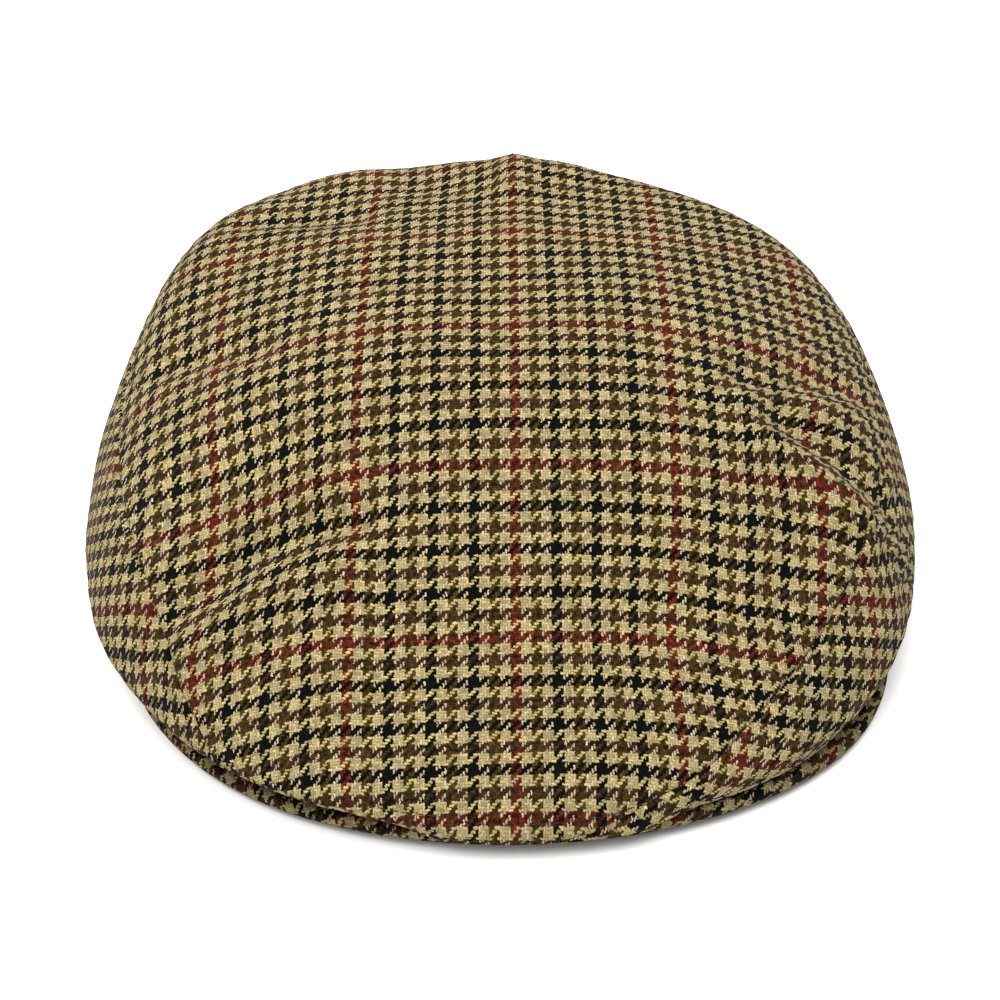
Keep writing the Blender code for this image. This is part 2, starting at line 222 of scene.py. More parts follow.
def smoothRows(along, rows):
    rows = np.array(rows, float)
    at, values = rows[:, 0], rows[:, 1:]
    step = np.diff(at)
    slope = np.diff(values, axis=0) / step[:, None]
    rate = np.zeros_like(values)
    rate[1:-1] = ((slope[:-1] * step[1:, None] + slope[1:] * step[:-1, None])
                  / (step[:-1] + step[1:])[:, None])
    rate[0] = 1.5 * slope[0] - 0.5 * rate[1]
    rate[-1] = 1.5 * slope[-1] - 0.5 * rate[-2]
    i = np.clip(np.searchsorted(at, along, side="right") - 1, 0, len(at) - 2)
    t = ((along - at[i]) / step[i])[..., None]
    h = step[i][..., None]
    return ((2 * t**3 - 3 * t**2 + 1) * values[i] + (t**3 - 2 * t**2 + t) * h * rate[i]
            + (3 * t**2 - 2 * t**3) * values[i + 1] + (t**3 - t**2) * h * rate[i + 1])


def roundRows(direction, rows):
    values = np.array(rows, float)[:, 1:]
    count = len(values)
    at = (np.degrees(direction) % 360) / (360 / count)
    i = np.floor(at).astype(int) % count
    t = (at - np.floor(at))[..., None]
    a, b, c, d = (values[(i + k) % count] for k in (-1, 0, 1, 2))
    return 0.5 * (2 * b + (c - a) * t + (2 * a - 5 * b + 4 * c - d) * t**2
                  + (3 * b - a - 3 * c + d) * t**3)


def ramp(t):
    t = np.clip(t, 0.0, 1.0)
    return t * t * (3 - 2 * t)


def unit(vectors):
    return vectors / np.linalg.norm(vectors, axis=-1, keepdims=True)


def aside(y):
    return crownForm["noseAside"] * ramp((-y - crownForm["asideStart"]) / crownForm["asideRun"])


def hemFar(angle):
    c, s = np.cos(angle), np.sin(angle)
    reach = np.where(c > 0, openingForm["front"] + crownForm["widestSetBack"],
                     openingForm["back"] - crownForm["widestSetBack"])
    return 1.0 / np.sqrt((c / reach)**2 + (s / openingForm["halfWidth"])**2)


def peakFar(angle):
    near = hemFar(angle)
    turned = np.minimum(1.0, np.abs(angle) / math.radians(peakForm["spread"]))
    return near + (peakForm["reach"] + crownForm["widestSetBack"] - near) * (1 - turned**peakForm["taper"])


def peakUnderside(x, y):
    across = np.maximum(0.0, 1 - (x / (peakForm["archWidth"] * peakForm["reach"]))**2)
    forward = ramp((-y / peakForm["reach"] - peakForm["archStart"]) / peakForm["archRun"])
    return peakForm["arch"] * across * forward


def peakThick(angle):
    past = (np.degrees(np.abs(angle)) - (peakForm["spread"] - peakForm["tipRun"])) / peakForm["tipRun"]
    return peakForm["thickness"] + (peakForm["tipThickness"] - peakForm["thickness"]) * ramp(past)


def plan(angle, far):
    return far * np.sin(angle), crownForm["widestSetBack"] - far * np.cos(angle)


def pastPeak(angle):
    return ramp((np.degrees(np.abs(angle)) - peakForm["spread"]) / peakForm["hemTurn"])


def edgeLine(angle):
    near = hemFar(angle)
    corner = np.exp(-((np.degrees(angle) - peakForm["cornerAt"]) / peakForm["cornerSpread"])**2)
    over = peakFar(angle) - peakForm["shown"] - peakForm["cornerShown"] * corner - near
    far = near + 0.5 * (over + np.sqrt(over**2 + peakForm["edgeEase"]**2))
    x, y = plan(angle, far)
    return far, (1 - pastPeak(angle)) * (peakUnderside(x, y) + peakThick(angle) + peakForm["gap"])


def foldHeight(x, y):
    total = np.zeros_like(x)
    for _, across1, along1, across2, along2, width, rise in foldRows:
        x1, x2 = across1 * crownForm["halfWidth"], across2 * crownForm["halfWidth"]
        y1 = along1 * (crownForm["back"] if along1 > 0 else crownForm["front"])
        y2 = along2 * (crownForm["back"] if along2 > 0 else crownForm["front"])
        length = math.hypot(x2 - x1, y2 - y1)
        ux, uy = (x2 - x1) / length, (y2 - y1) / length
        along = (x - x1) * ux + (y - y1) * uy
        off = (x - x1) * uy - (y - y1) * ux
        wide = width * crownForm["halfWidth"]
        pastEnd = np.maximum(0.0, np.abs(along - length / 2) - length / 2)
        total += rise * crownForm["height"] * np.exp(-(off**2 + pastEnd**2) / wide**2)
    return total


# The outer face of the crown; direction is in radians from the front towards +x
def crownPoint(direction, share):
    form = crownForm
    direction, share = np.broadcast_arrays(np.asarray(direction, float), np.asarray(share, float))
    c, s = np.cos(direction), np.sin(direction)
    row = smoothRows(np.minimum(share, form["widestShare"]), crownRows)
    front, back = row[..., 0] * form["front"], row[..., 1] * form["back"]
    side = row[..., 2] * form["halfWidth"]
    highFront, highSide, highBack = (row[..., k] * form["height"] for k in (3, 4, 5))
    power = np.where(c > 0, form["noseSquareness"], form["backSquareness"])
    scale = (np.abs(c)**power + np.abs(s)**power)**(-1 / power)
    middle = form["widestSetBack"] * np.minimum(1.0, share / form["centredShare"])
    x = side * scale * s
    y = middle - np.where(c > 0, front + middle, back - middle) * scale * c
    toEnd = (scale * c)**2
    z = highSide + np.where(c > 0, highFront - highSide, highBack - highSide) * toEnd

    swell = roundRows(direction, swellRows)
    out = swell[..., 0] * form["halfWidth"] * ramp(share / form["swellOutShare"])
    far = np.hypot(x, y - middle) + 1e-9
    x, y = x + out * x / far, y + out * (y - middle) / far
    fromSwell = (share - form["swellUpShare"]) / form["swellUpSpread"]
    z = z + swell[..., 1] * form["height"] * np.exp(-fromSwell**2)
    z = z + foldHeight(x, y) * ramp((form["widestShare"] - share) / form["foldFade"])

    # below the widest line the wall turns in to the edge and ends upright
    down = np.clip((share - form["widestShare"]) / (1 - form["widestShare"]), 0, 1)
    angle = np.arctan2(x, form["widestSetBack"] - y + 1e-12)
    far = np.hypot(x, y - form["widestSetBack"])
    edge, edgeHigh = edgeLine(angle)
    upright = np.minimum(form["hemHeight"], form["uprightPart"] * np.abs(z - edgeHigh))
    turn = np.clip(down / (1 - form["wallUpright"]), 0, 1)
    quarter = turn * math.pi / 2
    bulge = form["wallBulge"]
    far = edge + (far - edge) * ((1 - bulge) * (1 - turn) + bulge * np.cos(quarter))
    fall = (1 - bulge) * turn + bulge * np.sin(quarter)
    last = np.clip((down - 1 + form["wallUpright"]) / form["wallUpright"], 0, 1)
    lowZ = z + (edgeHigh + upright - z) * fall - upright * last
    lowX, lowY = plan(angle, far)
    low = share > form["widestShare"]
    x, y, z = np.where(low, lowX, x), np.where(low, lowY, y), np.where(low, lowZ, z)
    return np.stack([x + aside(y), y, z], axis=-1)


def crownNormal(direction, share):
    turn, step = math.radians(crownForm["normalTurn"]), crownForm["normalStep"]
    share = np.maximum(share, step)
    low = share - crownForm["normalInward"] * step
    high = np.minimum(share + step, 1.0)
    across = crownPoint(direction + turn, share) - crownPoint(direction - turn, share)
    along = crownPoint(direction, high) - crownPoint(direction, low)
    return unit(np.cross(along, across))


def seamShare(degrees):
    rows = seamRight if degrees >= 0 else seamLeft
    if abs(degrees) < rows[0][0]:
        return 1.0
    return float(smoothRows(np.array(float(abs(degrees))), rows)[0])


def arcLengths(points):
    steps = np.linalg.norm(np.diff(points, axis=1), axis=-1)
    return np.concatenate([np.zeros((len(points), 1)), np.cumsum(steps, axis=1)], axis=1)


def outwards(directions):
    return np.stack([np.sin(directions), -np.cos(directions), 0 * directions], axis=-1)


# At the front the crown's edge hangs a little over the peak's own edge
def hangOver(points, directions, toEdge):
    degrees = np.degrees(np.abs(directions))
    share = 1 - ramp((degrees - lipForm["fullTo"]) / (lipForm["goneAt"] - lipForm["fullTo"]))
    share = share[:, None] * ramp(1 - toEdge / lipForm["run"])
    moved = lipForm["out"] * outwards(directions) - np.array([0.0, 0.0, lipForm["down"]])
    return points + moved[:, None] * share[..., None]


def cloudy(points, size):
    flat = points.reshape(-1, 3) / size
    values = [noise.noise(Vector(p)) for p in flat]
    return np.array(values).reshape(points.shape[:-1])


def unevenness(points):
    total = (cloth["unevenness"] * cloudy(points, cloth["unevenSize"])
             + cloth["fineUnevenness"] * cloudy(points + 1.0, cloth["fineUnevenSize"]))
    x, y, z = points[..., 0], points[..., 1], points[..., 2]
    for _, atX, atY, reach, high, every in gathers:
        near = np.exp(-((x - atX)**2 + (y - atY)**2) / reach**2)
        drift = cloth["gatherDrift"] * np.sin(y / (cloth["gatherDriftEvery"] * every))
        total += high * near * np.sin(2 * math.pi * z / every + drift)
    for _, atX, atY, reach, high, size in crumples:
        near = np.exp(-((x - atX)**2 + (y - atY)**2) / reach**2)
        total += high * near * cloudy(points + 2.0, size)
    return total


# Edges roll in at a seam, and the cloth next to it puckers a little
def seamRelief(toSeam, alongSeam):
    roll = np.clip(1 - toSeam / cloth["seamWidth"], 0, 1)
    near = np.exp(-(toSeam / cloth["puckerWidth"])**2)
    phase = 2 * math.pi * alongSeam / cloth["puckerEvery"]
    wave = np.sin(phase + cloth["puckerDrift"] * np.sin(phase / cloth["puckerDriftEvery"]))
    return -cloth["seamDepth"] * roll**2 + cloth["pucker"] * near * wave


# The cloth's grain on the top: red warps run along b and red wefts along a
grain = {
    "centre": (0.0043, 0.0),
    "acrossTilt": -0.020,       # y per x along a weft
    "alongTilt": 0.060,         # x per y along a warp
    "step": 0.002,
    "reach": 0.150,
    "readTurn": 3.0,            # it is read on a grid of the crown, in degrees and shares
    "readTo": 0.80,
    "readRows": 60,
    "readFrom": 1.0,
    "warpRepeat": 0.0465,
    "heldShare": 0.58,          # from here down the pattern goes on along the surface
    "heldRows": 4,
    "weftRows": (
        # arc from the middle, repeats
        (-0.2069, -4.07),
        (-0.1574, -3.08),
        (-0.1079, -2.065),
        (-0.0543, -1.04),
        (0.0000, -0.01),
        (0.0542, 0.87),
        (0.1084, 1.88),
        (0.1626, 2.88),
    ),
    "weftRepeat": 0.0542,
    "pulls": (
        # where the cloth was pulled askew: name, x, y, reach, repeats across, repeats along
        ("left of the middle", -0.084, -0.052, 0.026, -0.13, 0.13),
        ("right, in front of the fold", 0.084, -0.084, 0.026, 0.11, 0.08),
        ("right, behind the fold", 0.085, -0.040, 0.012, 0.10, 0.0),
        ("front, right of the middle", 0.042, -0.094, 0.020, 0.06, 0.0),
        ("back, left of the dart", -0.030, 0.075, 0.050, 0.0, 0.075),
        ("back, right of the dart", 0.055, 0.075, 0.045, 0.0, 0.035),
        ("before the dart", 0.009, 0.070, 0.013, 0.0, -0.045),
        ("at the dart", 0.011, 0.100, 0.016, 0.0, -0.060),
    ),
}


def grainOf(x, y):
    x0, y0 = grain["centre"]
    b = ((y - y0) - grain["acrossTilt"] * (x - x0)) / (1 - grain["acrossTilt"] * grain["alongTilt"])
    return (x - x0) - grain["alongTilt"] * b, b


# Arc lengths over the crown along both grain directions, read on a level grid
def measureGrain():
    directions = np.radians(np.arange(-180, 181, grain["readTurn"]))
    shares = np.linspace(0.0, grain["readTo"], grain["readRows"])
    points = crownPoint(directions[:, None], shares[None, :])
    form = gridMesh(points)[0]
    tree = BVHTree.FromBMesh(form)
    form.free()
    count = int(grain["reach"] / grain["step"])
    at = np.arange(-count, count + 1) * grain["step"]
    a, b = np.meshgrid(at, at, indexing="ij")
    x = grain["centre"][0] + a + grain["alongTilt"] * b
    y = grain["centre"][1] + b + grain["acrossTilt"] * a
    z = np.full(a.shape, np.nan)
    for i in range(len(at)):
        for j in range(len(at)):
            hit = tree.ray_cast(Vector((x[i, j], y[i, j], grain["readFrom"])), Vector((0, 0, -1)))[0]
            if hit is not None:
                z[i, j] = hit.z
    acrossStep = grain["step"] * math.hypot(1, grain["acrossTilt"])
    alongStep = grain["step"] * math.hypot(1, grain["alongTilt"])
    rise = np.nan_to_num(np.diff(z, axis=0))
    u = np.concatenate([np.zeros((1, len(at))), np.cumsum(np.hypot(rise, acrossStep), axis=0)])
    u -= u[count:count + 1]
    rise = np.nan_to_num(np.diff(z, axis=1))
    v = np.concatenate([np.zeros((len(at), 1)), np.cumsum(np.hypot(rise, alongStep), axis=1)], axis=1)
    v -= v[:, count:count + 1]
    return at, u, v


def readGrid(at, values, a, b):
    step = at[1] - at[0]
    last = len(at) - 1.001      # just inside the last cell
    i, j = np.clip((a - at[0]) / step, 0, last), np.clip((b - at[0]) / step, 0, last)
    i0, j0 = np.floor(i).astype(int), np.floor(j).astype(int)
    s, t = i - i0, j - j0
    return ((1 - s) * (1 - t) * values[i0, j0] + s * (1 - t) * values[i0 + 1, j0]
            + (1 - s) * t * values[i0, j0 + 1] + s * t * values[i0 + 1, j0 + 1])


def gridMesh(points):
    form = bmesh.new()
    columns, rows = points.shape[:2]
    made = bmesh.ops.create_grid(form, x_segments=columns - 1, y_segments=rows - 1, size=0.5)["verts"]
    places = [(round((vert.co.x + 0.5) * (columns - 1)), round((vert.co.y + 0.5) * (rows - 1)))
              for vert in made]
    for vert, (i, k) in zip(made, places):
        vert.co = points[i, k]
    return form, made, places


# A grid with the weave's coordinates on a UV map
def wovenGrid(points, weave):
    form, made, places = gridMesh(points + shift)
    onLoops = form.loops.layers.uv.verify()
    for vert, (i, k) in zip(made, places):
        for loop in vert.link_loops:
            loop[onLoops].uv = weave[i, k]
    return form


# A wall of cloth between two faces, made as one sheet that wraps round its rim
def clothPiece(name, outer, inner, weave, material, closed=False):
    points = np.concatenate([outer, inner[:, ::-1]], axis=1)
    weaves = np.concatenate([weave, weave[:, ::-1]], axis=1)
    if closed:
        points[-1] = points[0]
        points[:, 0], points[:, -1] = points[:, 0].mean(axis=0), points[:, -1].mean(axis=0)
    else:
        points = np.concatenate([points, points[:, :1]], axis=1)
        weaves = np.concatenate([weaves, weaves[:, :1]], axis=1)
        between = 0.5 * (outer + inner)
        ends = [np.concatenate([between[n], between[n, ::-1], between[n, :1]])[None] for n in (0, -1)]
        points = np.concatenate([ends[0], points, ends[1]])
        weaves = np.concatenate([weaves[:1], weaves, weaves[-1:]])
    form = wovenGrid(points, weaves)
    bmesh.ops.remove_doubles(form, verts=form.verts, dist=sameSpot)
    return finishPiece(name, form, material)


def finishPiece(name, form, material):
    form.normal_update()
    if form.calc_volume(signed=True) < 0:       # its faces look inwards
        bmesh.ops.reverse_faces(form, faces=form.faces)
    mesh = bpy.data.meshes.new(name)
    form.to_mesh(mesh)
    form.free()
    if mesh.uv_layers:
        mesh.uv_layers[0].name = "weave"
    mesh.shade_smooth()
    mesh.set_sharp_from_angle(angle=math.radians(cloth["sharpAngle"]))
    mesh.materials.append(material)
    piece = bpy.data.objects.new(name, mesh)
    bpy.context.scene.collection.objects.link(piece)
    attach(piece, "root")
    print(name, len(mesh.polygons), "faces")
    return piece


def mathNode(tree, operation, *values):
    node = tree.nodes.new("ShaderNodeMath")
    node.operation = operation
    for socket, value in zip(node.inputs, values):
        if isinstance(value, (int, float)):
            socket.default_value = value
        else:
            tree.links.new(value, socket)
    return node.outputs[0]


def mixColour(tree, factor, first, second, blend="MIX"):
    node = tree.nodes.new("ShaderNodeMix")
    node.data_type = "RGBA"
    node.blend_type = blend
    for socket, value in ((node.inputs[0], factor), (node.inputs[6], first), (node.inputs[7], second)):
        if isinstance(value, tuple):
            socket.default_value = (*value, 1.0)
        elif isinstance(value, (int, float)):
            socket.default_value = value
        else:
            tree.links.new(value, socket)
    return node.outputs[2]


# A colour on a screen's scale of 0 to 255, as the shader's linear one
def linear(*parts):
    return tuple((v / 255 / 12.92) if v <= 10 else ((v / 255 + 0.055) / 1.055)**2.4 for v in parts)


tweed = {
    "threads": 64,              # in one repeat of the check, both ways
    "groupThreads": 4,          # light and coloured threads by turns
    "twillStart": 3.0,
    "creamWarp": linear(182, 164, 132),
    "creamWeft": linear(182, 165, 108),
    "redWarp": linear(112, 38, 25),
    "redWeft": linear(106, 35, 23),
    "brownWarp": linear(78, 61, 21),
    "brownWeft": linear(69, 48, 26),
    "blackWarp": linear(9, 15, 13),
    "blackWeft": linear(7, 10, 9),
    "mixedIn": linear(17, 16, 14),
    "mixed": 4.2,               # how patchy the mixed wools of the coloured threads are
    "mixedShare": 0.28,
    "mixedMost": 0.85,
    "mixedSize": 0.62,          # sizes of clouds are per thread, larger is finer
    "hues": 1.7,
    "creamHues": 0.35,          # cream threads have this part of it
    "blueHues": 0.8,
    "wander": 0.9,              # how far threads wander, in threads
    "wanderSize": 0.12,
    "roughEdge": 1.5,
    "roughSize": 1.1,
    "warpShrink": 0.48,         # cream floats are thinner than the dark ones beside them
    "weftShrink": 0.20,
    "ragged": 1.0,
    "raggedSize": 3.1,
    "roundEnds": 0.6,
    "floatShade": 0.62,         # how much single floats differ
    "fuzz": 1.3,                # how much the wool differs within a float
    "fuzzLeast": 0.35,
    "depth": 0.64,              # how deep the dyes are, over all colours
    "peakDepthAndShade": 0.42,          # painted shade: the same cloth, made darker on the peak, which lies in shade under the crown
    "bump": 0.00030,
    "bumpStrength": 0.8,
    "bumpFuzz": 0.5,
    "gapPaintedShade": 0.45,           # painted shade in the gaps between threads, how dark
    "gapMiddle": 0.75,
    "roughness": 0.92,
    "specular": 0.04,
    "sheen": 0.035,
    "sheenRoughness": 0.22,
}


# depth sets how deep the dyes are; for the peak it also holds painted shade
def tweedMaterial(name, depth):
    material = bpy.data.materials.new(name)
    material.use_nodes = True
    tree = material.node_tree
    shader = tree.nodes["Principled BSDF"]
    threads = tweed["threads"]
    group = tweed["groupThreads"]

    def calc(operation, *values):
        return mathNode(tree, operation, *values)

    def choose(which, first, second):
        return calc("ADD", calc("MULTIPLY", which, calc("SUBTRACT", first, second)), second)

    weave = tree.nodes.new("ShaderNodeUVMap")
    weave.uv_map = "weave"
    scaled = tree.nodes.new("ShaderNodeVectorMath")
    scaled.operation = "SCALE"
    scaled.inputs["Scale"].default_value = threads
    tree.links.new(weave.outputs["UV"], scaled.inputs[0])
    split = tree.nodes.new("ShaderNodeSeparateXYZ")
    tree.links.new(scaled.outputs[0], split.inputs[0])

    def clouds(size, detail):
        cloud = tree.nodes.new("ShaderNodeTexNoise")
        cloud.inputs["Scale"].default_value = size
        cloud.inputs["Detail"].default_value = detail
        tree.links.new(scaled.outputs[0], cloud.inputs["Vector"])
        parts = tree.nodes.new("ShaderNodeSeparateColor")
        tree.links.new(cloud.outputs["Color"], parts.inputs[0])
        return parts.outputs

    slow, fast = clouds(tweed["wanderSize"], 2.0), clouds(tweed["roughSize"], 2.0)

    def shaken(place, n):
        place = calc("ADD", place, calc("MULTIPLY", calc("SUBTRACT", slow[n], 0.5), tweed["wander"]))
        place = calc("ADD", place, calc("MULTIPLY", calc("SUBTRACT", fast[n], 0.5), tweed["roughEdge"]))
        return calc("ADD", place, group / 2)

    u, v = shaken(split.outputs[0], 0), shaken(split.outputs[1], 1)
    i, j = calc("FLOOR", u), calc("FLOOR", v)
    fu, fv = calc("FRACT", u), calc("FRACT", v)
    diagonal = calc("ADD", calc("SUBTRACT", i, j), tweed["twillStart"])
    k = calc("FLOORED_MODULO", diagonal, 4.0)
    warpOnTop = calc("LESS_THAN", k, 1.5)       # over two threads and under two

    # the colour of a thread by its number, and whether it is a coloured one
    def threadColour(index, cream, red, brown, black):
        order = [red] + [brown, black] * 3 + [brown]
        coloured = calc("LESS_THAN", calc("FLOORED_MODULO", index, 2.0 * group), group - 0.5)
        pitch = calc("FLOORED_MODULO", calc("FLOOR", calc("DIVIDE", index, 2.0 * group)), len(order))
        colours = tree.nodes.new("ShaderNodeValToRGB")
        colours.color_ramp.interpolation = "CONSTANT"
        stops = colours.color_ramp.elements
        while len(stops) < len(order):
            stops.new(0.5)
        for n, colour in enumerate(order):
            stops[n].position = n / len(order)
            stops[n].color = (*colour, 1.0)
        tree.links.new(calc("DIVIDE", calc("ADD", pitch, 0.5), len(order)), colours.inputs[0])
        return mixColour(tree, coloured, cream, colours.outputs[0]), coloured

    dyes = ("cream", "red", "brown", "black")
    warp, warpColoured = threadColour(i, *(tweed[dye + "Warp"] for dye in dyes))
    weft, weftColoured = threadColour(j, *(tweed[dye + "Weft"] for dye in dyes))

    # each float is rounded across and at its ends
    across = choose(warpOnTop, fu, fv)
    crossing = calc("SUBTRACT", calc("MULTIPLY", across, 2.0), 1.0)
    roundAcross = calc("SUBTRACT", 1.0, calc("MULTIPLY", crossing, crossing))
    along = choose(warpOnTop, calc("SUBTRACT", fv, k), calc("SUBTRACT", calc("ADD", fu, k), 3.0))
    alongSquare = calc("MULTIPLY", along, along)
    roundAlong = calc("SUBTRACT", 1.0, calc("MULTIPLY", alongSquare, alongSquare))
    height = calc("MULTIPLY", roundAcross,
                  calc("ADD", calc("MULTIPLY", roundAlong, tweed["roundEnds"]), 1.0 - tweed["roundEnds"]))

    # dark threads show round a cream float
    fine = clouds(tweed["raggedSize"], 1.0)
    cover = calc("ADD", calc("MULTIPLY", roundAcross, roundAlong),
                 calc("MULTIPLY", calc("SUBTRACT", fine[0], 0.5), tweed["ragged"]))
    shows = calc("GREATER_THAN", cover, choose(warpOnTop, tweed["warpShrink"], tweed["weftShrink"]))
    topColoured = choose(warpOnTop, warpColoured, weftColoured)
    shows = calc("MAXIMUM", shows, topColoured)
    showsWarp = choose(shows, warpOnTop, calc("SUBTRACT", 1.0, warpOnTop))
    colour = mixColour(tree, showsWarp, weft, warp)

    # coloured threads are spun of mixed wools, cream ones vary less
    patch = clouds(tweed["mixedSize"], 3.0)
    isColoured = choose(showsWarp, warpColoured, weftColoured)
    mixedIn = calc("MULTIPLY", calc("SUBTRACT", patch[0], 0.5), tweed["mixed"])
    mixedIn = calc("MULTIPLY", calc("ADD", mixedIn, tweed["mixedShare"]), isColoured)
    mixedIn = calc("MINIMUM", calc("MAXIMUM", mixedIn, 0.0), tweed["mixedMost"])
    colour = mixColour(tree, mixedIn, colour, tweed["mixedIn"])
    creamHues = tweed["creamHues"] * tweed["hues"]
    hue = calc("MULTIPLY", calc("SUBTRACT", patch[1], 0.5),
               calc("ADD", calc("MULTIPLY", isColoured, tweed["hues"] - creamHues), creamHues))
    tint = tree.nodes.new("ShaderNodeCombineColor")
    tree.links.new(calc("ADD", 1.0, hue), tint.inputs[0])
    tint.inputs[1].default_value = 1.0
    tree.links.new(calc("SUBTRACT", 1.0, calc("MULTIPLY", hue, tweed["blueHues"])), tint.inputs[2])
    colour = mixColour(tree, 1.0, colour, tint.outputs[0], "MULTIPLY")

    # and each float differs a little; the gaps between threads get painted shade
    own = tree.nodes.new("ShaderNodeTexWhiteNoise")
    own.noise_dimensions = "3D"
    cell = tree.nodes.new("ShaderNodeCombineXYZ")
    tree.links.new(choose(warpOnTop, i, j), cell.inputs[0])
    tree.links.new(calc("FLOOR", calc("DIVIDE", diagonal, 4.0)), cell.inputs[1])
    tree.links.new(warpOnTop, cell.inputs[2])
    tree.links.new(cell.outputs[0], own.inputs["Vector"])
    toneAndShade = calc("MULTIPLY", own.outputs["Value"], tweed["floatShade"])
    toneAndShade = calc("MULTIPLY", calc("ADD", toneAndShade, 1.0 - tweed["floatShade"] / 2), depth)
    toneAndShade = calc("MULTIPLY", toneAndShade, calc("ADD", calc("MULTIPLY", fine[1], tweed["fuzz"]), tweed["fuzzLeast"]))
    # painted shade: the lower parts of each thread are painted darker, as if shaded by the threads beside
    toneAndShade = calc("MULTIPLY", toneAndShade, calc("ADD", calc("MULTIPLY", height, tweed["gapPaintedShade"]),
                                         1.0 - tweed["gapMiddle"] * tweed["gapPaintedShade"]))
    grey = tree.nodes.new("ShaderNodeCombineColor")
    for socket in grey.inputs:
        tree.links.new(toneAndShade, socket)
    colour = mixColour(tree, 1.0, colour, grey.outputs[0], "MULTIPLY")
    tree.links.new(colour, shader.inputs["Base Color"])

    bump = tree.nodes.new("ShaderNodeBump")
    bump.inputs["Strength"].default_value = tweed["bumpStrength"]
    bump.inputs["Distance"].default_value = tweed["bump"]
    tree.links.new(calc("ADD", height, calc("MULTIPLY", fine[2], tweed["bumpFuzz"])), bump.inputs["Height"])
    tree.links.new(bump.outputs[0], shader.inputs["Normal"])
    shader.inputs["Roughness"].default_value = tweed["roughness"]
    shader.inputs["Sheen Weight"].default_value = tweed["sheen"]
    shader.inputs["Sheen Roughness"].default_value = tweed["sheenRoughness"]
    shader.inputs["Specular IOR Level"].default_value = tweed["specular"]
    return material


topPanel = {
    "columns": 361,
    "rows": 96,
    "rollRows": 0.30,           # part of the rows from the roll down to the end
    "rollShare": 0.60,
    "rollMost": 0.88,
    "dense": 240,
    "lastGap": 0.0015,          # left before the rows next to the seam
    "calmLeast": 0.3,
    "stitchRows": (
        # direction, share of the front top stitch
        (-28, 0.970),
        (-26, 0.900),
        (-24, 0.780),
        (-22, 0.690),
        (-18, 0.672),
        (-12, 0.674),
        (-7, 0.692),
        (-2, 0.697),
        (4, 0.697),
        (8, 0.691),
        (15, 0.668),
    ),
}


# Arc lengths down the crown at shares from start to its edge, with the shares
def arcsDown(turn, start, count):
    shares = np.linspace(start, 1.0, count)
    return arcLengths(crownPoint(turn, shares)[None])[0], shares


def topSheet(material, thread):
    directions = np.radians(np.linspace(-180, 180, topPanel["columns"]))
    degrees = np.degrees(directions)
    ends = np.array([seamShare(d) for d in degrees])
    nearSeam = np.array(cloth["nearSeam"])
    near = len(nearSeam)
    rolls = np.minimum(topPanel["rollShare"], topPanel["rollMost"] * ends)
    t = np.linspace(0, 1, topPanel["rows"])
    kink = 1 - topPanel["rollRows"]
    shares = np.where(t[None, :] < kink, rolls[:, None] * t[None, :] / kink,
                      rolls[:, None] + (ends - rolls)[:, None] * (t[None, :] - kink) / (1 - kink))
    # the last rows stand close together at the end
    for n, end in enumerate(ends):
        dense = np.linspace(0, end, topPanel["dense"])
        arc = arcLengths(crownPoint(directions[n], dense)[None])[0]
        wanted = np.interp(shares[n], dense, arc)
        last = arc[-1] - nearSeam[::-1]
        wanted[-near:] = last
        wanted[:-near] *= min(1.0, (last[0] - topPanel["lastGap"]) / wanted[-near - 1])
        shares[n] = np.interp(wanted, arc, dense)
    outer = crownPoint(directions[:, None], shares)
    normal = crownNormal(directions[:, None], shares)
    arc = arcLengths(outer)
    toEnd = arc[:, -1:] - arc
    alongEnd = arcLengths(outer[:, -1][None])[0][:, None]
    isEdge = (ends >= 1.0)[:, None]
    relief = unevenness(outer) * np.clip(toEnd / cloth["calmRun"], topPanel["calmLeast"], 1)
    roll = np.clip(1 - toEnd / cloth["edgeWidth"], 0, 1)
    relief += np.where(isEdge, -cloth["edgeDepth"] * roll**2, seamRelief(toEnd, alongEnd))
    below = [arcsDown(turn, end, crownForm["arcSteps"])[0][-1] for turn, end in zip(directions, ends)]
    toEdge = toEnd + np.array(below)[:, None]
    rows = topPanel["stitchRows"]
    stitch = {n: float(smoothRows(np.array(degree), rows)[0])
              for n, degree in enumerate(degrees) if rows[0][0] <= degree <= rows[-1][0]}
    for n, share in stitch.items():
        away = arc[n] - np.interp(share, shares[n], arc[n])
        relief[n] -= cloth["stitchDepth"] * np.exp(-(away / cloth["stitchWidth"])**2)
    weave = topWeave(outer, shares, arc)
    outer = hangOver(outer + normal * relief[..., None], directions, toEdge)
    inner = outer - normal * cloth["thick"]
    line = np.array([[np.interp(share, shares[n], outer[n, :, k]) for k in range(3)]
                     for n, share in stitch.items()])
    lineNormal = np.array([crownNormal(directions[n], share) for n, share in stitch.items()])
    stitchPiece("front_stitches", stitchRuns["front"], line, lineNormal, thread)
    piece = clothPiece("top_cloth", outer, inner, weave, material, closed=True)
    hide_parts("top_panel")
    return piece


